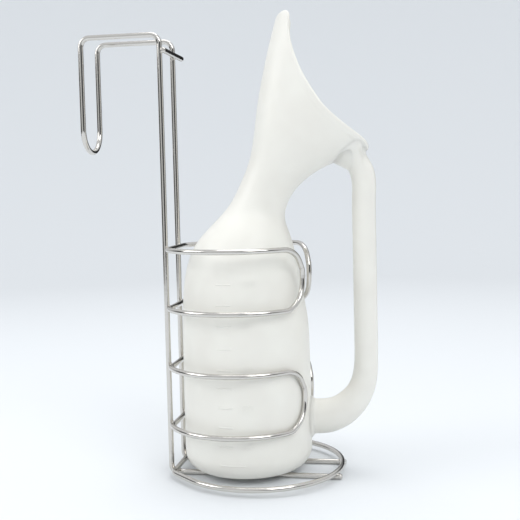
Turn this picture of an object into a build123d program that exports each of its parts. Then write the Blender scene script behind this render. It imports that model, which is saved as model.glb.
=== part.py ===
from build123d import *
import os
from math import cos, sin, radians

os.makedirs("parts", exist_ok=True)

# One litre urine bottle standing in its chromed wire bed-rail holder.
# Millimetres. +X points from the hook to the open side of the hoops and +Z up. The origin is on
# the floor, on the axis of the bottle's round body. The bottle is built with its handle at +X
# and then turned a little about that axis, as it stands in the holder.

# ---- driving dimensions: bottle ----
bottle_turn = 7.0           # degrees, seen from above, from +X towards +Y
body_radius = 48.5          # outside
straight_height = 95.0      # top of the straight wall, above the floor
base_corner = 14.0          # radius between wall and base
wall = 1.6
base_wall = 2.0
neck_radius = 19.5          # outside, at the narrowest place
neck_x, neck_z = 14.8, 209.0
neck_lean = 30.0            # degrees from upright, towards the handle
mouth_spread = 10.5         # half width of the mouth beyond the neck's radius
lip_reach, lip_rise = 80.2, 37.1       # lip of the mouth, from the neck's centre
tip_reach, tip_rise = 19.3, 139.3      # tip of the mouth, from the neck's centre
bead_width = 5.0            # rolled rim, measured along the wall
bead_proud = 0.9            # how far it stands out of the wall
grip_radius = 8.7
grip_reach = 76.4           # neck's centre to the middle of the grip
elbow_radius = 34.0         # bend below the grip, on the handle's centre line
root_height = 13.3          # half height of the handle where it leaves the body
root_width = 10.0           # half width there
root_level = 41.0
mark_levels = (17.2, 31.1, 45.0, 59.2, 73.3, 86.4, 101.5, 118.1, 133.1, 147.8)  # each 100 ml
mark_length = 11.8
first_mark_length = 20.8
mark_height = 1.1
mark_proud = 0.45
mark_start = -18.6          # left end of every mark

# ---- driving dimensions: holder ----
wire = 4.0                  # diameter of every wire
weld_set = 0.4              # how far two welded wires are pressed into each other
wire_end = 1.2              # rounding of a cut end
upright_spacing = 35.0
holder_height = 334.0
hook_reach = 61.6           # uprights to hook legs, centre to centre
hook_drop = 85.2            # top bars to the bottom of the hook's nose, centre to centre
top_bend = 7.0
foot_bend = 5.0
back_play = 2.9             # body to the straight back of each hoop
hoop_play = 4.2             # body to the hoops at the front and the rear
hoop_shift = -4.4           # the hoops' centre stands this far towards the uprights
hoop_levels = (39.1, 83.4, 127.6, 171.9)
loop_end = 20.3             # degrees either side of +X that a hoop's rounded ends reach
kink_bend = 12.0
ring_play = 12.8            # body to the base ring
ring_shift = 8.5
ring_tangent = 132.5        # degrees round from +X where its arc begins
ring_bend = 10.0
bar_overhang = 1.5          # floor bars past the ring
tie_drop = 12.0             # tie rod's top bars
tie_front, tie_rear = 21.5, 31.0
seat_gap = 0.2              # bottle above the floor bars

# ---- worked out ----
wire_radius = wire / 2
weld_pitch = wire - weld_set
base_level = wire + seat_gap
back_x = -(body_radius + back_play + wire_radius)
upright_x = back_x - weld_pitch
upright_y = upright_spacing / 2
top_level = holder_height - wire_radius
hook_x = upright_x - hook_reach
nose_level = top_level - hook_drop
hoop_radius = body_radius + hoop_play + wire_radius
ring_radius = body_radius + ring_play + wire_radius
ring_level = wire_radius + weld_pitch
ring_back = upright_x + foot_bend
bar_end = ring_shift + ring_radius + bar_overhang
lip = (neck_x + lip_reach, neck_z + lip_rise)
tip = (neck_x + tip_reach, neck_z + tip_rise)
grip_x = neck_x + grip_reach
half_neck_x = neck_radius * cos(radians(neck_lean))
half_neck_z = neck_radius * sin(radians(neck_lean))
shoulder_rise = neck_z - straight_height


def section(left, right, half_width):
    """Plane and half sizes of an oval section between two points of the side outline."""
    span = Vector(right[0] - left[0], 0, right[1] - left[1])
    middle = ((left[0] + right[0]) / 2, 0, (left[1] + right[1]) / 2)
    normal = span.normalized().cross(Vector(0, 1, 0))
    return Plane(origin=middle, x_dir=span.normalized(), z_dir=normal), span.length / 2, half_width


def shoulder_section(height, shift, share, tilt=0.0):
    """Section of the shoulder at a share of its rise; share 1 is the body's radius, 0 the neck's."""
    radius = neck_radius + share * (body_radius - neck_radius)
    level = straight_height + height * shoulder_rise
    return section((shift - radius, level - tilt), (shift + radius, level + tilt), radius)


def neck_section(left, right, spread):
    """Section of the neck or funnel, its outline points measured from the neck's centre."""
    points = [(neck_x + x, neck_z + z) for x, z in (left, right)]
    return section(points[0], points[1], neck_radius + spread)


def lofted(sections, grow=0.0):
    """Closed solid through oval sections, each made larger all round by grow."""
    with BuildPart() as form:
        for plane, half_x, half_y in sections:
            with BuildSketch(plane):
                Ellipse(half_x + grow, half_y + grow)
        loft()
    return form.part


def swept(path):
    """Wire bent along a path."""
    with BuildPart() as bent:
        with BuildSketch(Plane(origin=path @ 0, z_dir=path % 0)):
            Circle(wire_radius)
        sweep(path=path)
    return bent.part


neck_plane_section = neck_section((-half_neck_x, half_neck_z), (half_neck_x, -half_neck_z), -0.3)
shoulder = [
    shoulder_section(0.0, 0, 1),
    shoulder_section(0.22, -0.6, 0.965),
    shoulder_section(0.41, -1.8, 0.90),
    shoulder_section(0.65, -1.4, 0.69, 2),
    shoulder_section(0.81, 3.6, 0.35, 0.5),
    neck_section((-25.4, -6.5), (16.5, -15.7), 1.6),
    neck_plane_section,
]
funnel = [
    neck_plane_section,
    neck_section((-10.5, 23.9), (22.3, 1.5), 0),
    neck_section((-6.1, 41.1), (35.3, 15.1), 0.25 * mouth_spread),
    neck_section((-2.4, 66.5), (52.9, 24.2), 0.52 * mouth_spread),
    neck_section((2.3, 90.9), (78.2, 32.2), 0.76 * mouth_spread),
    neck_section((8.9, 118.1), (103.7, 43.8), 0.9 * mouth_spread),
    neck_section((17.3, 147.8), (129.5, 58.3), mouth_spread),
]



def handle_section(x, z, lean, half_depth, half_width):
    """Section of the handle, square to a centre line that leans towards the grip from upright."""
    along = Vector(sin(radians(lean)), 0, cos(radians(lean)))
    across = Vector(0, 1, 0).cross(along)
    return Plane(origin=(x, 0, z), x_dir=across, z_dir=along), half_depth, half_width


elbow_centre = (grip_x - elbow_radius, root_level + elbow_radius)
elbow = [handle_section(body_radius - 2 * wall, root_level, 90, root_height, root_width)]
for turn in range(0, 91, 15):
    share = turn / 90
    elbow.append(
        handle_section(
            elbow_centre[0] + elbow_radius * sin(radians(turn)),
            elbow_centre[1] - elbow_radius * cos(radians(turn)),
            90 - turn,
            root_height + share * (grip_radius - root_height),
            root_width + share * (grip_radius - root_width),
        )
    )
grip_top = lip[1] - 30
handle_top = [
    handle_section(grip_x, grip_top, 0, grip_radius, grip_radius),
    handle_section(grip_x, grip_top + 5, -3, grip_radius, grip_radius),
    handle_section(lip[0] - 7.4, lip[1] - 15.4, -26, grip_radius + 0.6, grip_radius + 0.3),
    handle_section(lip[0] - 14.5, lip[1] - 8.1, -18, grip_radius + 4.2, grip_radius + 0.8),
    handle_section(lip[0] - 17.0, lip[1] + 1.4, -15, grip_radius + 6.3, grip_radius + 0.8),
]


def handle_form(grow=0.0):
    """Solid handle: elbow, straight grip and flared top, made larger all round by grow."""
    with BuildPart() as form:
        add(lofted(elbow, grow))
        with BuildSketch(Plane.XY.offset(elbow_centre[1])):
            with Locations((grip_x, 0)):
                Circle(grip_radius + grow)
        extrude(amount=grip_top - elbow_centre[1])
        add(lofted(handle_top, grow))
    return form.part


# ---- bottle: raised volume marks at the front, on the body and up the shoulder ----
with BuildPart() as marks:
    with BuildSketch():
        Circle(body_radius + mark_proud)
    extrude(amount=straight_height)
    add(lofted(shoulder, mark_proud))
    with BuildSketch():
        Circle(body_radius - wall / 2)
    extrude(amount=straight_height, mode=Mode.SUBTRACT)
    add(lofted(shoulder, -wall / 2), mode=Mode.SUBTRACT)
    with BuildPart(mode=Mode.PRIVATE) as bars:
        for level in mark_levels:
            length = first_mark_length if level == mark_levels[0] else mark_length
            with BuildSketch(Plane.XY.offset(level)):
                with Locations((mark_start + length / 2, -body_radius)):
                    Rectangle(length, body_radius)
            extrude(amount=mark_height / 2, both=True)
    add(bars.part, mode=Mode.INTERSECT)

# ---- bottle: round body, an open cup ----
with BuildPart() as bottle_body:
    with BuildSketch(Plane.XY.offset(base_level)):
        Circle(body_radius)
    extrude(amount=straight_height - base_level)
    fillet(bottle_body.edges().group_by(Axis.Z)[0], base_corner)
    with BuildPart(mode=Mode.PRIVATE) as cavity:
        with BuildSketch(Plane.XY.offset(base_level + base_wall)):
            Circle(body_radius - wall)
        extrude(amount=straight_height - base_level - base_wall)
        fillet(cavity.edges().group_by(Axis.Z)[0], base_corner - wall)
    add(cavity.part, mode=Mode.SUBTRACT)
    with BuildPart(mode=Mode.PRIVATE) as body_marks:
        add(marks.part)
        split(bisect_by=Plane.XY.offset(straight_height), keep=Keep.BOTTOM)
    add(body_marks.part)

# ---- bottle: shoulder and neck ----
with BuildPart() as bottle_neck:
    add(lofted(shoulder))
    add(lofted(shoulder, -wall), mode=Mode.SUBTRACT)
    with BuildPart(mode=Mode.PRIVATE) as neck_marks:
        add(marks.part)
        split(bisect_by=Plane.XY.offset(straight_height), keep=Keep.TOP)
    add(neck_marks.part)

# ---- bottle: funnel mouth with its rolled rim ----
rim_out = Vector(tip[1] - lip[1], lip[0] - tip[0]).normalized()
with BuildPart() as rim_cut:
    with BuildSketch(Plane.XZ):
        with BuildLine():
            rim = Spline(
                lip,
                (neck_x + 52.2, neck_z + 61.4),
                (neck_x + 32.0, neck_z + 91.1),
                (neck_x + 22.9, neck_z + 121.1),
                (neck_x + 22.4, neck_z + 134.8),
            )
            ThreePointArc(rim @ 1, (tip[0] + 2.5, tip[1] - 1.2), tip)
            Polyline(
                tip,
                (neck_x - body_radius, tip[1]),
                (neck_x - body_radius, tip[1] + body_radius),
                (neck_x + 4 * body_radius, tip[1] + body_radius),
                (neck_x + 4 * body_radius, lip[1] - body_radius),
                (lip[0] + 1, lip[1] - body_radius),
                lip,
            )
        make_face()
    extrude(amount=2 * body_radius, both=True)


funnel_form = lofted(funnel)
with BuildPart() as bead:
    add(lofted(funnel, bead_proud))
    add(Pos(-bead_width * rim_out.X, 0, -bead_width * rim_out.Y) * rim_cut.part, mode=Mode.INTERSECT)
with BuildPart() as bottle_mouth:
    add(funnel_form)
    add(bead.part)
    add(lofted(funnel, -wall), mode=Mode.SUBTRACT)
    add(rim_cut.part, mode=Mode.SUBTRACT)

# ---- bottle: hollow handle from the body up to the underside of the mouth ----
with BuildPart() as bottle_handle:
    add(handle_form())
    add(handle_form(-wall), mode=Mode.SUBTRACT)
    with BuildSketch():
        Circle(body_radius)
    extrude(amount=straight_height, mode=Mode.SUBTRACT)
    add(funnel_form, mode=Mode.SUBTRACT)
    add(bead.part, mode=Mode.SUBTRACT)

# ---- holder: one long wire bent into feet, uprights and hook ----
with BuildLine() as front_wire:
    FilletPolyline(
        (bar_end, -upright_y, wire_radius),
        (upright_x, -upright_y, wire_radius),
        (upright_x, -upright_y, top_level),
        (hook_x, -upright_y, top_level),
        (hook_x, -upright_y, nose_level + upright_y),
        radius=(foot_bend, top_bend, top_bend),
    )
    ThreePointArc(
        (hook_x, -upright_y, nose_level + upright_y),
        (hook_x, -upright_y * cos(radians(45)), nose_level + upright_y * (1 - sin(radians(45)))),
        (hook_x, 0, nose_level),
    )
with BuildPart() as hanger_wire:
    add(swept(front_wire.wire()))
    fillet(hanger_wire.faces().sort_by(Axis.X)[-1].edges(), wire_end)
    mirror(about=Plane.XZ)


# ---- holder: two wire hoops, each a closed loop open at the front for the handle ----
def hoop_loop(low, high):
    """Closed loop of wire: a hoop at each level, joined by a turn down beside the handle."""
    kink_x = back_x + kink_bend - hoop_shift
    kink_y = ((hoop_radius - kink_bend) ** 2 - kink_x**2) ** 0.5
    reach = hoop_radius / (hoop_radius - kink_bend)
    kink_end = (hoop_shift + reach * kink_x, -reach * kink_y)
    bend = (high - low) / 2
    rounded = []
    for step in range(9):
        angle = radians(22.5 * step)
        turn = radians(loop_end) + bend * (1 - sin(angle)) / hoop_radius
        level = (high + low) / 2 + bend * cos(angle)
        rounded.append((hoop_shift + hoop_radius * cos(turn), -hoop_radius * sin(turn), level))
    with BuildLine() as half:
        back = Line((back_x, 0, high), (back_x, -kink_y, high))
        kink = TangentArc(back @ 1, (*kink_end, high), tangent=back % 1)
        around = TangentArc(kink @ 1, rounded[0], tangent=kink % 1)
        Spline(*rounded[:5], tangents=(around % 1, (0, 0, -1)))
        under = Spline(*rounded[4:], tangents=((0, 0, -1), (around % 1) * -1))
        around_low = TangentArc(under @ 1, (*kink_end, low), tangent=under % 1)
        low_kink = TangentArc(around_low @ 1, (back_x, -kink_y, low), tangent=around_low % 1)
        Line(low_kink @ 1, (back_x, 0, low))
    with BuildPart() as loop_wire:
        add(swept(half.wire()))
        mirror(about=Plane.XZ)
    return loop_wire.part


with BuildPart() as lower_hoop:
    add(hoop_loop(hoop_levels[0], hoop_levels[1]))
with BuildPart() as upper_hoop:
    add(hoop_loop(hoop_levels[2], hoop_levels[3]))

# ---- holder: base ring, straight across the back ----
corner_turn = radians(ring_tangent)
corner_start = Vector(ring_shift + ring_radius * cos(corner_turn), -ring_radius * sin(corner_turn))
corner_run = (corner_start.X - ring_back) / sin(corner_turn)
with BuildLine() as half_ring:
    bend = FilletPolyline(
        (ring_back, 0, ring_level),
        (ring_back, corner_start.Y - corner_run * cos(corner_turn), ring_level),
        (corner_start.X, corner_start.Y, ring_level),
        radius=ring_bend,
    )
    TangentArc(bend @ 1, (ring_shift + ring_radius, 0, ring_level), tangent=bend % 1)
with BuildPart() as base_ring:
    add(swept(half_ring.wire()))
    mirror(about=Plane.XZ)

# ---- holder: tie rod across the uprights, longer at the rear ----
with BuildPart() as tie_rod:
    with BuildSketch(Plane.XZ.offset(tie_front)):
        with Locations((back_x, top_level - tie_drop)):
            Circle(wire_radius)
    extrude(amount=-(tie_front + tie_rear))
    fillet(tie_rod.edges().filter_by(GeomType.CIRCLE), wire_end)

# ---- bottle turned in the holder ----
placed_body = Rot(0, 0, bottle_turn) * bottle_body.part
placed_neck = Rot(0, 0, bottle_turn) * bottle_neck.part
placed_mouth = Rot(0, 0, bottle_turn) * bottle_mouth.part
placed_handle = Rot(0, 0, bottle_turn) * bottle_handle.part

# ---- names and files ----
placed_body.label = "bottle_body"
placed_neck.label = "bottle_neck"
placed_mouth.label = "bottle_mouth"
placed_handle.label = "bottle_handle"
hanger_wire.part.label = "hanger_wire"
upper_hoop.part.label = "upper_hoop"
lower_hoop.part.label = "lower_hoop"
base_ring.part.label = "base_ring"
tie_rod.part.label = "tie_rod"

export_step(placed_body, "parts/bottle_body.step")
export_step(placed_neck, "parts/bottle_neck.step")
export_step(placed_mouth, "parts/bottle_mouth.step")
export_step(placed_handle, "parts/bottle_handle.step")
export_step(hanger_wire.part, "parts/hanger_wire.step")
export_step(upper_hoop.part, "parts/upper_hoop.step")
export_step(lower_hoop.part, "parts/lower_hoop.step")
export_step(base_ring.part, "parts/base_ring.step")
export_step(tie_rod.part, "parts/tie_rod.step")
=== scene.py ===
import math

import bpy
import numpy as np
from mathutils import Matrix, Vector
from mathutils.bvhtree import BVHTree


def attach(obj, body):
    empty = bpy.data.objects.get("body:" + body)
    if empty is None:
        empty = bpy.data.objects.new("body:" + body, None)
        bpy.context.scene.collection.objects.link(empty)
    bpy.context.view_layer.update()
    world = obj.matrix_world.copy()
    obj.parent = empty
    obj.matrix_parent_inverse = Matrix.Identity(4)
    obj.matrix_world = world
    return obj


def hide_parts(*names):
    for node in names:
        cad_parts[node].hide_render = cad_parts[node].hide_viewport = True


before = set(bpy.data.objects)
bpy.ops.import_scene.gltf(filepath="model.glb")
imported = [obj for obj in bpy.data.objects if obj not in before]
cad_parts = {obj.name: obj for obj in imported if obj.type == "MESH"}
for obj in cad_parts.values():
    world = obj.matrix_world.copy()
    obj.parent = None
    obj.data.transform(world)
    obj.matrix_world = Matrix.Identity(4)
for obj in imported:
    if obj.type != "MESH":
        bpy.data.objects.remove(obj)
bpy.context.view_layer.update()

# ---------------------------------------------------------------------------
# Bottle shell: body, shoulder, neck and funnel mouth.
# One blow moulding in natural high-density polyethylene, about 1.6 mm thick, with a rolled
# rim round the slanted mouth and a faint parting line where the two mould halves met.
# ---------------------------------------------------------------------------
MM = 0.001
WALL = 1.6
BOTTLE_TURN = 7.0           # degrees from +X towards +Y, as it stands in the holder
BODY_RADIUS = 48.5
BASE_LEVEL = 4.2
BASE_CORNER = 14.0
PUSH_UP = 1.6               # how far the middle of the base is pushed up
PARTING_PROUD = 0.18
PARTING_HALF_WIDTH = 0.4
RIM_TIP_PROUD = 0.05
RIM_SIDE_PROUD = 0.12
RIM_LIP_PROUD = 1.1
RIM_INSIDE_PROUD = 0.5

# side outline from the foot of the wall up: left x, z, right x, z and half width across
OUTLINE = [
    (-48.5, 18.2, 48.5, 18.2, 48.5),
    (-48.5, 45.0, 48.5, 45.0, 48.5),
    (-48.5, 72.0, 48.5, 72.0, 48.5),
    (-48.3, 95.0, 48.0, 95.0, 48.3),
    (-47.9, 118.0, 47.0, 117.0, 47.6),
    (-46.4, 143.0, 43.2, 140.0, 45.4),
    (-42.1, 162.9, 39.5, 162.1, 41.7),
    (-34.2, 177.8, 35.4, 179.2, 35.0),
    (-22.5, 190.1, 32.3, 188.3, 27.4),
    (-10.8, 203.0, 31.3, 194.4, 21.6),
    (-2.0, 218.5, 32.6, 201.4, 19.5),
    (4.3, 232.8, 37.6, 211.5, 19.6),
    (8.7, 250.1, 49.9, 223.8, 21.8),
    (12.4, 275.4, 68.2, 233.8, 24.8),
    (17.1, 299.9, 93.5, 243.6, 27.3),
    (23.7, 327.1, 119.6, 254.5, 28.8),
    (31.6, 353.8, 145.3, 267.3, 29.6),
]
# the mouth's edge seen from the side, from under the lip up to the tip and over it
MOUTH_EDGE = [
    (97.7, 233.3),
    (96.4, 240.9),
    (95.2, 245.5),
    (92.6, 249.5),
    (88.5, 253.0),
    (81.8, 258.0),
    (74.4, 263.8),
    (67.0, 270.4),
    (60.8, 277.1),
    (55.8, 284.5),
    (50.9, 292.3),
    (46.8, 300.1),
    (43.6, 307.6),
    (41.0, 315.1),
    (39.0, 322.6),
    (37.8, 330.1),
    (37.5, 337.5),
    (38.0, 342.9),
    (37.2, 345.2),
    (34.4, 346.8),
    (31.4, 346.2),
    (28.2, 344.2),
]


def smooth(knots, values, where):
    """Natural cubic spline through values at knots, read off at where."""
    knots, values, where = map(np.asarray, (knots, values, where))
    count = len(knots)
    gaps = np.diff(knots)
    system = np.eye(count)
    right = np.zeros((count,) + values.shape[1:])
    slopes = np.diff(values, axis=0) / gaps.reshape((-1,) + (1,) * (values.ndim - 1))
    for i in range(1, count - 1):
        system[i, i - 1 : i + 2] = gaps[i - 1], 2 * (gaps[i - 1] + gaps[i]), gaps[i]
        right[i] = 6 * (slopes[i] - slopes[i - 1])
    bends = np.linalg.solve(system, right)
    k = np.clip(np.searchsorted(knots, where, side="right") - 1, 0, count - 2)
    shape = (-1,) + (1,) * (values.ndim - 1)
    gap = gaps[k].reshape(shape)
    a = (knots[k + 1] - where).reshape(shape) / gap
    b = 1 - a
    curve = ((a**3 - a) * bends[k] + (b**3 - b) * bends[k + 1]) * gap**2 / 6
    return a * values[k] + b * values[k + 1] + curve


def lengths(points):
    """Distance run along a row of points, starting at 0."""
    return np.concatenate([[0.0], np.cumsum(np.linalg.norm(np.diff(points, axis=0), axis=1))])


def easing(share):
    """Smooth step from 0 to 1."""
    share = np.clip(share, 0, 1)
    return share * share * (3 - 2 * share)


parting_turn = math.degrees(PARTING_HALF_WIDTH / BODY_RADIUS)
turns = list(np.arange(0, 360, 2.25))
turns += [parting_turn, 180 - parting_turn, 180 + parting_turn, 360 - parting_turn]
turns = np.radians(np.sort(turns))
columns = len(turns)
on_parting = [0, int(np.argmin(abs(turns - math.pi)))]

outline = np.array(OUTLINE)
middles = np.column_stack([(outline[:, 0] + outline[:, 2]) / 2, (outline[:, 1] + outline[:, 3]) / 2])
knots = lengths(middles)
fine = np.linspace(0, knots[-1], 700)
level = smooth(knots, outline, fine)
left = np.column_stack([level[:, 0], np.zeros(700), level[:, 1]])
right = np.column_stack([level[:, 2], np.zeros(700), level[:, 3]])
across = np.array([0.0, 1.0, 0.0])
centre, reach = (left + right) / 2, (right - left) / 2
sheet = (
    centre[:, None]
    + reach[:, None] * np.cos(turns)[None, :, None]
    + across * (level[:, 4][:, None] * np.sin(turns)[None, :])[:, :, None]
)

edge_knots = lengths(np.array(MOUTH_EDGE))
edge = smooth(edge_knots, np.array(MOUTH_EDGE), np.linspace(0, edge_knots[-1], 400))


def first_crossing(track, cutter):
    """Where a side-view track first meets the cutter, as an index with a fraction."""
    step = np.diff(cutter, axis=0)
    for i in range(len(track) - 1):
        move = track[i + 1] - track[i]
        gap = cutter[:-1] - track[i]
        cross = move[0] * step[:, 1] - move[1] * step[:, 0]
        cross = np.where(abs(cross) < 1e-12, 1e-12, cross)
        along = (gap[:, 0] * step[:, 1] - gap[:, 1] * step[:, 0]) / cross
        other = (gap[:, 0] * move[1] - gap[:, 1] * move[0]) / cross
        hits = (along >= 0) & (along < 1) & (other >= 0) & (other < 1)
        if hits.any():
            return i + along[hits].min()
    return len(track) - 1.0


neck_row = int(np.argmin(abs(fine - knots[10])))
wall_rows = np.linspace(0, neck_row, 90)
near_edge = np.array([6.4, 5.8, 5.2, 4.7, 4.2, 3.6, 3.0, 2.5])
upper_count = 84
shell = np.zeros((len(wall_rows) + upper_count + len(near_edge), columns, 3))
for c in range(columns):
    track = sheet[:, c]
    index = np.arange(700.0)
    for axis in range(3):
        shell[: len(wall_rows), c, axis] = np.interp(wall_rows, index, track[:, axis])
    start = neck_row
    cut = start + first_crossing(track[start:, [0, 2]], edge)
    steps = np.append(np.arange(start, math.floor(cut) + 1), cut)
    upper = np.column_stack([np.interp(steps, index, track[:, axis]) for axis in range(3)])
    run = lengths(upper)
    stops = np.concatenate([
        np.linspace(0, run[-1] - near_edge[0], upper_count + 1)[1:-1],
        [run[-1] - near_edge[0] - 0.3],
        run[-1] - near_edge,
    ])
    for axis in range(3):
        shell[len(wall_rows) :, c, axis] = np.interp(stops, run, upper[:, axis])


def outward(grid):
    """Unit normals of a grid of rows and closed columns."""
    down_rows = np.gradient(grid, axis=0)
    round_columns = np.roll(grid, -1, axis=1) - np.roll(grid, 1, axis=1)
    normal = np.cross(round_columns, down_rows)
    return normal / np.linalg.norm(normal, axis=2, keepdims=True)


foot_turns = np.radians(np.linspace(0, 90, 11)[:-1])
foot = [(r, BASE_LEVEL + PUSH_UP * (1 - easing(r / 30.0))) for r in (4, 10, 16, 21, 26, 30, 34.5)]
foot = foot[:-1] + [
    (BODY_RADIUS - BASE_CORNER + BASE_CORNER * math.sin(t), BASE_LEVEL + BASE_CORNER * (1 - math.cos(t)))
    for t in foot_turns
]
foot_rows = np.array([[(r * math.cos(t), r * math.sin(t), z) for t in turns] for r, z in foot])
skin = np.concatenate([foot_rows, shell])
normals = outward(skin)

# rolled rim: the wall swells out and in over its last few millimetres, most of all at the lip
lip_share = easing((np.cos(turns) - 0.55) / 0.45)
tip_share = easing((-np.cos(turns) - 0.3) / 0.7)
swell = RIM_SIDE_PROUD + (RIM_LIP_PROUD - RIM_SIDE_PROUD) * lip_share
swell -= (RIM_SIDE_PROUD - RIM_TIP_PROUD) * tip_share
rise = np.zeros(len(skin))
rise[-len(near_edge) :] = easing((6.4 - near_edge) / 2.2)
outer = skin + normals * (rise[:, None] * swell[None, :])[:, :, None]
for c in on_parting:
    outer[7:, c] += PARTING_PROUD * normals[7:, c]
inner = skin - normals * (WALL + rise * RIM_INSIDE_PROUD)[:, None, None]
inner[:6] += np.array([0, 0, -0.4])

rim_normal = normals[-1]
rim_along = shell[-1] - shell[-2]
rim_along /= np.linalg.norm(rim_along, axis=1, keepdims=True)
rim_middle = (outer[-1] + inner[-1]) / 2
rim_half = np.linalg.norm(outer[-1] - inner[-1], axis=1)[:, None] / 2
roll = [
    rim_middle + rim_half * math.cos(t) * rim_normal + 2.5 * math.sin(t) * rim_along
    for t in np.radians(np.linspace(0, 180, 11)[1:-1])
]
rows = np.concatenate([outer, np.array(roll), inner[::-1]])

shell_points = [tuple(p) for row in rows for p in row]
shell_faces = []
for r in range(len(rows) - 1):
    for c in range(columns):
        n = (c + 1) % columns
        shell_faces.append((r * columns + c, r * columns + n, (r + 1) * columns + n, (r + 1) * columns + c))
under, inside = len(shell_points), len(shell_points) + 1
shell_points += [(0, 0, BASE_LEVEL + PUSH_UP), (0, 0, BASE_LEVEL + PUSH_UP + WALL)]
last = (len(rows) - 1) * columns
for c in range(columns):
    n = (c + 1) % columns
    shell_faces.append((under, n, c))
    shell_faces.append((inside, last + c, last + n))

wall_faces = shell_faces[: (len(outer) - 1) * columns]
wall = BVHTree.FromPolygons([Vector(p) for p in shell_points], wall_faces)

# ---------------------------------------------------------------------------
# Handle of the bottle.
# A hollow tube blown in one with the bottle, so it runs out of the body and into the underside
# of the mouth in soft fillets, and it carries the same parting line.
# ---------------------------------------------------------------------------
# middle x, z, lean from upright towards +X, half depth and half width
HANDLE = [
    (53.1, 40.9, 90, 13.36, 10.00),
    (58.6, 41.0, 86, 13.26, 10.00),
    (69.2, 43.7, 68, 12.55, 9.90),
    (79.9, 51.5, 44, 11.33, 9.50),
    (87.9, 64.0, 19, 9.82, 9.00),
    (91.0, 81.7, 3, 8.86, 8.70),
    (91.3, 100.0, 0, 8.75, 8.65),
    (91.3, 128.5, 0, 8.75, 8.65),
    (91.3, 157.0, 0, 8.75, 8.65),
    (91.3, 185.4, 0, 8.75, 8.65),
    (91.5, 207.8, -1, 8.80, 8.70),
    (91.6, 220.0, -6, 8.91, 8.80),
    (89.6, 227.7, -18, 9.21, 9.10),
    (85.9, 232.8, -27, 9.92, 9.60),
]
HANDLE_COLUMNS = 56
TOP_ROW = 90                # from here up the handle starts to widen into the mouth
TOP_FILLETS = 12.0, 11.0, 1.5   # how far it runs out along the mouth: inside, sides, outside

handle = np.array(HANDLE)
handle_knots = lengths(handle[:, :2])
handle_rows = smooth(handle_knots, handle, np.linspace(0, handle_knots[-1], 110))
handle_turns = np.radians(np.append(np.arange(0, 360, 360 / HANDLE_COLUMNS), [2.5, 177.5, 182.5, 357.5]))
handle_turns = np.sort(handle_turns)
tube, tube_inside = [], []
for x, z, lean, deep, wide in handle_rows:
    lean = math.radians(lean)
    out = np.array([math.cos(lean), 0, -math.sin(lean)])
    for row, shrink in ((tube, 0), (tube_inside, WALL)):
        row.append([
            np.array([x, 0, z]) + out * (deep - shrink) * math.cos(t) + across * (wide - shrink) * math.sin(t)
            for t in handle_turns
        ])
tube, tube_inside = np.array(tube), np.array(tube_inside)
for c, t in enumerate(handle_turns):
    if abs(math.sin(t)) < 0.001:
        radial = tube[:, c] - tube.mean(axis=1)
        tube[:, c] += PARTING_PROUD * radial / np.linalg.norm(radial, axis=1, keepdims=True)


def flare(track, middle, fillet):
    """Points that carry one line of the handle on in its own direction and out along the wall."""
    start = Vector(track[-1])
    heading = (start - Vector(track[-2])).normalized()
    spread = (start - Vector(middle)).normalized()
    hit, facing, _, _ = wall.ray_cast(start - heading, heading)
    if hit is None:
        hit, facing, _, _ = wall.find_nearest(start)
    landed = hit
    for _ in range(16):
        along = (spread - spread.dot(facing) * facing).normalized()
        landed, facing, _, _ = wall.find_nearest(landed + along * fillet / 16)
    along = (spread - spread.dot(facing) * facing).normalized()
    landed = landed - 0.06 * facing
    leave = start + heading * 0.6 * (hit - start).length
    arrive = landed - along * 0.6 * fillet
    shares = [i / 20 for i in range(1, 21)]
    curve = [
        (1 - s) ** 3 * start + 3 * s * (1 - s) ** 2 * leave + 3 * s * s * (1 - s) * arrive + s**3 * landed
        for s in shares
    ]
    return np.array(curve + [landed + 0.8 * along - 0.06 * facing, landed + 0.8 * along - 1.2 * facing])


cosines = np.cos(handle_turns)
root_columns = [flare(tube[1::-1, c], tube[0].mean(axis=0), 3.2) for c in range(len(handle_turns))]
top_columns = []
for c, cosine in enumerate(cosines):
    end = len(tube) - round(6 * (1 - max(cosine, 0)))
    track = tube[TOP_ROW:end, c]
    end_fillet = TOP_FILLETS[2] if cosine > 0 else TOP_FILLETS[0]
    reach_out = TOP_FILLETS[1] * (1 - cosine**2) + end_fillet * cosine**2
    path = flare(track, tube[end - 1].mean(axis=0), float(reach_out))
    whole = np.concatenate([track, path[:-2]])
    run = lengths(whole)
    stops = np.linspace(0, run[-1], 64)
    spaced = np.column_stack([np.interp(stops, run, whole[:, axis]) for axis in range(3)])
    top_columns.append(np.concatenate([spaced, path[-2:]]))
root_flare = np.array(root_columns).transpose(1, 0, 2)
top = np.array(top_columns).transpose(1, 0, 2)
handle_grid = np.concatenate([root_flare[::-1], tube[:TOP_ROW], top, tube_inside[::-1]])
handle_points = [tuple(p) for row in handle_grid for p in row]
handle_faces = []
across_count = len(handle_turns)
for r in range(len(handle_grid)):
    s = (r + 1) % len(handle_grid)
    for c in range(across_count):
        n = (c + 1) % across_count
        here, there = r * across_count, s * across_count
        handle_faces.append((here + c, there + c, there + n, here + n))

# ---------------------------------------------------------------------------
# Volume marks on the front of the bottle.
# Raised bars and plain numbers cut into the mould, a bar for every 100 ml and a number at every
# second one. They stand out of the wall by up to 0.4 mm and are the same plastic.
# ---------------------------------------------------------------------------
MARK_LEVELS = (17.2, 31.1, 45.0, 59.2, 73.3, 86.4, 101.5, 118.1, 133.1, 147.8)
MARK_START, MARK_LENGTH, FIRST_LENGTH = -18.6, 11.8, 20.8
MARK_HALF_HEIGHT, MARK_PROUD = 0.65, 0.36
NUMBER_SIZE, NUMBER_START, NUMBER_PROUD = 6.5, -2.0, 0.22


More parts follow.
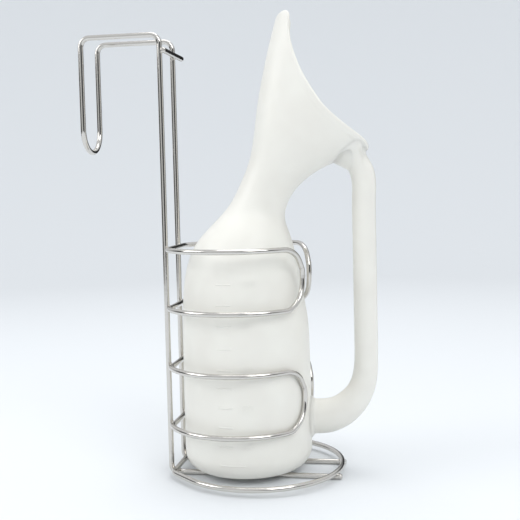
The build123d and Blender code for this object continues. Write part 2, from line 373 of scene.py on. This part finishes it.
def on_front(x, z, proud):
    """Point on the front of the wall, moved out by proud."""
    hit, facing, _, _ = wall.ray_cast(Vector((x, -90, z)), Vector((0, 1, 0)))
    return hit + facing * float(proud)


mark_points, mark_faces = [], []
for level_up in MARK_LEVELS:
    long = FIRST_LENGTH if level_up == MARK_LEVELS[0] else MARK_LENGTH
    first = len(mark_points)
    stations = np.linspace(0, long, 15)
    profile = np.radians(np.linspace(0, 180, 9))
    for s in stations:
        end = min(1.0, (min(s, long - s) / 0.7 + 0.05)) ** 0.5
        for t in profile:
            height = -0.25 + (MARK_PROUD + 0.25) * math.sin(t) * end
            up = level_up + MARK_HALF_HEIGHT * math.cos(t) * end
            mark_points.append(tuple(on_front(MARK_START + s, up, height)))
    for i in range(len(stations) - 1):
        for j in range(len(profile)):
            k = (j + 1) % len(profile)
            a, b = first + i * len(profile), first + (i + 1) * len(profile)
            mark_faces.append((a + j, b + j, b + k, a + k))
    mark_faces.append(tuple(first + j for j in range(len(profile))))
    far_end = first + (len(stations) - 1) * len(profile)
    mark_faces.append(tuple(far_end + j for j in reversed(range(len(profile)))))


def add_mesh(name, points, faces):
    """New smooth-shaded object from points in millimetres."""
    mesh = bpy.data.meshes.new(name)
    mesh.from_pydata([Vector(p) * MM for p in points], [], faces)
    mesh.validate()
    mesh.polygons.foreach_set("use_smooth", [True] * len(mesh.polygons))
    made = bpy.data.objects.new(name, mesh)
    bpy.context.scene.collection.objects.link(made)
    return made


bottle_parts = [
    add_mesh("bottle_moulding", shell_points, shell_faces),
    add_mesh("bottle_handle_tube", handle_points, handle_faces),
    add_mesh("bottle_marks", mark_points, mark_faces),
]
for n, level_up in enumerate(MARK_LEVELS):
    if n % 2 == 0:
        continue
    words = bpy.data.curves.new("number", "FONT")
    words.body = str(100 * (n + 1))
    words.size = NUMBER_SIZE
    words.extrude = 0.5
    words.bevel_depth = 0.08
    words.align_y = "CENTER"
    number = bpy.data.objects.new("number", words)
    bpy.context.scene.collection.objects.link(number)
    bpy.context.view_layer.update()
    flat = bpy.data.meshes.new_from_object(number.evaluated_get(bpy.context.evaluated_depsgraph_get()))
    bpy.data.objects.remove(number)
    points = []
    for v in flat.vertices:
        proud = NUMBER_PROUD if v.co.z > 0 else -0.3
        points.append(tuple(on_front(NUMBER_START + v.co.x, level_up + v.co.y, proud)))
    bottle_parts.append(add_mesh("number", points, [tuple(p.vertices) for p in flat.polygons]))
    for polygon in bottle_parts[-1].data.polygons:
        polygon.use_smooth = False

for made in bpy.context.selected_objects:
    made.select_set(False)
for made in bottle_parts:
    made.select_set(True)
bottle = bottle_parts[0]
bpy.context.view_layer.objects.active = bottle
bpy.ops.object.join()
bpy.ops.object.mode_set(mode="EDIT")
bpy.ops.mesh.select_all(action="SELECT")
bpy.ops.mesh.normals_make_consistent(inside=False)
bpy.ops.object.mode_set(mode="OBJECT")
bottle.select_set(False)
bottle.data.transform(Matrix.Rotation(math.radians(BOTTLE_TURN), 4, "Z"))

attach(bottle, "bottle")
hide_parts("bottle_body", "bottle_neck", "bottle_mouth", "bottle_handle")


def linear(code):
    """Linear colour from an sRGB hex value."""
    values = [int(code[i : i + 2], 16) / 255 for i in (0, 2, 4)]
    return [v / 12.92 if v <= 0.04045 else ((v + 0.055) / 1.055) ** 2.4 for v in values] + [1.0]


def add_node(tree, kind, settings=(), links=()):
    """Adds a node, sets its properties and inputs, and links other sockets to its inputs."""
    node = tree.nodes.new(kind)
    for key, value in dict(settings).items():
        if key in node.inputs:
            node.inputs[key].default_value = value
        else:
            setattr(node, key, value)
    for key, socket in dict(links).items():
        tree.links.new(socket, node.inputs[key])
    return node


def new_material(name):
    """Empty material with its surface output."""
    material = bpy.data.materials.new(name)
    material.use_nodes = True
    material.node_tree.nodes.clear()
    return material, material.node_tree, material.node_tree.nodes.new("ShaderNodeOutputMaterial")


# Natural polyethylene, blow moulded: off-white, with light going only just under its surface and
# the satin skin of a blasted mould. The mottle is the uneven wall, patches about 30 mm across.
polyethylene, tree, out = new_material("natural_polyethylene_blow_moulded")
place = add_node(tree, "ShaderNodeTexCoord")
on_object = {"Vector": place.outputs["Object"]}
mottle = add_node(tree, "ShaderNodeTexNoise", {"Scale": 1 / 0.030, "Detail": 2.0}, on_object)
tint = add_node(tree, "ShaderNodeValToRGB", {}, {"Fac": mottle.outputs["Fac"]})
tint.color_ramp.elements[0].position, tint.color_ramp.elements[0].color = 0.3, linear("E5E3DC")
tint.color_ramp.elements[1].position, tint.color_ramp.elements[1].color = 0.7, linear("EAE9E2")
skin_grain = add_node(tree, "ShaderNodeTexNoise", {"Scale": 1 / 0.0012, "Detail": 2.0}, on_object)
grain = add_node(
    tree, "ShaderNodeBump", {"Strength": 0.10, "Distance": 0.0001}, {"Height": skin_grain.outputs["Fac"]}
)
plastic = add_node(
    tree,
    "ShaderNodeBsdfPrincipled",
    {
        "Roughness": 0.42,
        "IOR": 1.54,
        "Subsurface Weight": 0.2,
        "Subsurface Radius": (1.0, 0.98, 0.92),
        "Subsurface Scale": 0.0006,
    },
    {"Base Color": tint.outputs["Color"], "Normal": grain.outputs["Normal"]},
)
tree.links.new(plastic.outputs["BSDF"], out.inputs["Surface"])
bottle.data.materials.clear()
bottle.data.materials.append(polyethylene)

# ---------------------------------------------------------------------------
# Holder: hanger wire, two hoops, base ring and tie rod.
# Round 4 mm steel wire, bent, resistance welded where the wires cross and then bright chrome
# plated all over, so the plating runs over the small squeezed welds as well.
# ---------------------------------------------------------------------------
UPRIGHT_X, HOOP_X, RING_X = -57.0, -53.4, -52.0
UPRIGHT_Y = 17.5
HOOP_LEVELS = (39.1, 83.4, 127.6, 171.9)
TIE_LEVEL = 320.0
RING_WELD_LEVEL = 3.8
RING_FRONT_X = 8.5 + (63.3**2 - UPRIGHT_Y**2) ** 0.5
WELD = (2.4, 2.4, 1.0)      # half sizes of a weld's squeezed metal, the last across the joint

# Bright chrome on polished wire: a mirror with a trace of waviness, about 4 mm long.
chrome, tree, out = new_material("bright_chrome_plated_wire")
place = add_node(tree, "ShaderNodeTexCoord")
on_object = {"Vector": place.outputs["Object"]}
ripple = add_node(tree, "ShaderNodeTexNoise", {"Scale": 1 / 0.004, "Detail": 1.0}, on_object)
wave = add_node(
    tree, "ShaderNodeBump", {"Strength": 0.12, "Distance": 0.0002}, {"Height": ripple.outputs["Fac"]}
)
metal = add_node(
    tree,
    "ShaderNodeBsdfPrincipled",
    {"Base Color": linear("D2CFCA"), "Metallic": 1.0, "Roughness": 0.13},
    {"Normal": wave.outputs["Normal"]},
)
tree.links.new(metal.outputs["BSDF"], out.inputs["Surface"])
for name in ("hanger_wire", "upper_hoop", "lower_hoop", "base_ring", "tie_rod"):
    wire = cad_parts[name]
    wire.data.materials.clear()
    wire.data.materials.append(chrome)

weld_x = (UPRIGHT_X + HOOP_X) / 2
sides = (-UPRIGHT_Y, UPRIGHT_Y)
weld_places = [(weld_x, side, up, "x") for side in sides for up in HOOP_LEVELS + (TIE_LEVEL,)]
weld_places += [(x, side, RING_WELD_LEVEL, "z") for side in sides for x in (RING_X, RING_FRONT_X)]
weld_points, weld_faces = [], []
for x, y, z, facing in weld_places:
    first = len(weld_points)
    for up in np.radians(np.linspace(-90, 90, 9)):
        for t in np.radians(np.arange(0, 360, 22.5)):
            flat_a, flat_b = WELD[0] * math.cos(up) * math.cos(t), WELD[1] * math.cos(up) * math.sin(t)
            thick = WELD[2] * math.sin(up)
            shift = (thick, flat_a, flat_b) if facing == "x" else (flat_a, flat_b, thick)
            weld_points.append((x + shift[0], y + shift[1], z + shift[2]))
    for i in range(8):
        for j in range(16):
            a, b, k = first + i * 16, first + (i + 1) * 16, (j + 1) % 16
            weld_faces.append((a + j, a + k, b + k, b + j))
welds = add_mesh("wire_welds", weld_points, weld_faces)
welds.data.materials.append(chrome)
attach(welds, "holder")

# ---------------------------------------------------------------------------
# Studio: pale floor, a pale curved surround that only the camera sees, soft boxes overhead and
# at the sides, and a sky of light and dark bands for the chrome to mirror.
# ---------------------------------------------------------------------------
paper, tree, out = new_material("pale_paper_floor")
sheet_shader = add_node(tree, "ShaderNodeBsdfPrincipled", {"Base Color": linear("E4E7EA"), "Roughness": 0.9})
tree.links.new(sheet_shader.outputs["BSDF"], out.inputs["Surface"])
ring_turns = np.radians(np.arange(0, 360, 5))


def turned_sheet(name, profile):
    """Sheet of paper turned round the upright axis from radii and heights in millimetres."""
    points = [(r * math.cos(t), r * math.sin(t), z) for r, z in profile for t in ring_turns]
    faces = []
    for i in range(len(profile) - 1):
        for j in range(72):
            k = (j + 1) % 72
            faces.append((i * 72 + j, (i + 1) * 72 + j, (i + 1) * 72 + k, i * 72 + k))
    made = add_mesh(name, points, faces)
    made.data.materials.append(paper)
    return made


turned_sheet("floor", [(0.5, 0), (300, 0), (700, 0), (1400, 0)])
cove = [(1399 + 900 * math.sin(t), 900 * (1 - math.cos(t))) for t in np.radians(np.linspace(0, 90, 25))]
surround = turned_sheet("surround", cove + [(2299, 2600)])
surround.visible_diffuse = surround.visible_glossy = False
surround.visible_transmission = surround.visible_shadow = False

world = bpy.data.worlds.new("studio")
bpy.context.scene.world = world
bpy.context.scene.view_settings.view_transform = "Standard"
world.use_nodes = True
tree = world.node_tree
tree.nodes.clear()
direction = add_node(tree, "ShaderNodeTexCoord")
parts = add_node(tree, "ShaderNodeSeparateXYZ", {}, {"Vector": direction.outputs["Generated"]})
bearing = add_node(tree, "ShaderNodeMath", {"operation": "ARCTAN2"})
tree.links.new(parts.outputs["Y"], bearing.inputs[0])
tree.links.new(parts.outputs["X"], bearing.inputs[1])
turned = add_node(tree, "ShaderNodeMath", {"operation": "MULTIPLY_ADD"})
turned.inputs[1].default_value, turned.inputs[2].default_value = 3.0, 0.9
tree.links.new(bearing.outputs[0], turned.inputs[0])
banded = add_node(tree, "ShaderNodeMath", {"operation": "SINE"})
tree.links.new(turned.outputs[0], banded.inputs[0])
bands = add_node(
    tree,
    "ShaderNodeMapRange",
    {"From Min": -0.6, "From Max": 0.6, "To Min": 0.03, "To Max": 0.75},
    {"Value": banded.outputs[0]},
)
lift = add_node(tree, "ShaderNodeMapRange", {"From Min": 0.3, "From Max": 0.5}, {"Value": parts.outputs["Z"]})
mirrored = add_node(tree, "ShaderNodeMix", {"data_type": "FLOAT"})
tree.links.new(lift.outputs[0], mirrored.inputs[0])
tree.links.new(bands.outputs[0], mirrored.inputs[2])
mirrored.inputs[3].default_value = 0.9
ray = add_node(tree, "ShaderNodeLightPath")
chosen = add_node(tree, "ShaderNodeMix", {"data_type": "FLOAT"})
tree.links.new(ray.outputs["Is Glossy Ray"], chosen.inputs[0])
chosen.inputs[2].default_value = 0.86
tree.links.new(mirrored.outputs[0], chosen.inputs[3])
sky = add_node(tree, "ShaderNodeBackground", {"Color": linear("F2F5F8")})
tree.links.new(chosen.outputs[0], sky.inputs["Strength"])
sky_out = tree.nodes.new("ShaderNodeOutputWorld")
tree.links.new(sky.outputs["Background"], sky_out.inputs["Surface"])


def soft_box(name, place, aim, size, watts):
    """Square area light at place, facing aim; metres and watts."""
    lamp = bpy.data.lights.new(name, "AREA")
    lamp.shape, lamp.size, lamp.energy = "SQUARE", size, watts
    made = bpy.data.objects.new(name, lamp)
    made.location = place
    made.rotation_euler = (Vector(aim) - Vector(place)).to_track_quat("-Z", "Y").to_euler()
    bpy.context.scene.collection.objects.link(made)
    return made


soft_box("key_box", (0.9, -1.0, 1.3), (0, 0, 0.15), 0.9, 8)
soft_box("side_box", (-1.3, -0.5, 0.9), (0, 0, 0.15), 0.8, 6)
soft_box("top_box", (0.0, 0.3, 1.7), (0, 0, 0.1), 1.0, 8)

# ---------------------------------------------------------------------------
# Camera: a short telephoto, level with the neck and looking slightly down.
# ---------------------------------------------------------------------------
lens = bpy.data.cameras.new("camera")
lens.lens, lens.sensor_width = 61.0, 36.0
lens.shift_x, lens.shift_y = -0.021, -0.049
lens.clip_start, lens.clip_end = 0.05, 50
turn, dip, roll_turn = math.radians(9.80), math.radians(3.24), math.radians(-1.34)
forward = Vector((-math.sin(turn) * math.cos(dip), math.cos(turn) * math.cos(dip), -math.sin(dip)))
level_right = forward.cross(Vector((0, 0, 1))).normalized()
level_up = level_right.cross(forward)
image_right = level_right * math.cos(roll_turn) + level_up * math.sin(roll_turn)
image_up = level_up * math.cos(roll_turn) - level_right * math.sin(roll_turn)
camera = bpy.data.objects.new("camera", lens)
facing_in = Matrix((image_right, image_up, -forward)).transposed().to_4x4()
camera.matrix_world = Matrix.Translation((0.1342, -0.6560, 0.2186)) @ facing_in
bpy.context.scene.collection.objects.link(camera)
bpy.context.scene.camera = camera
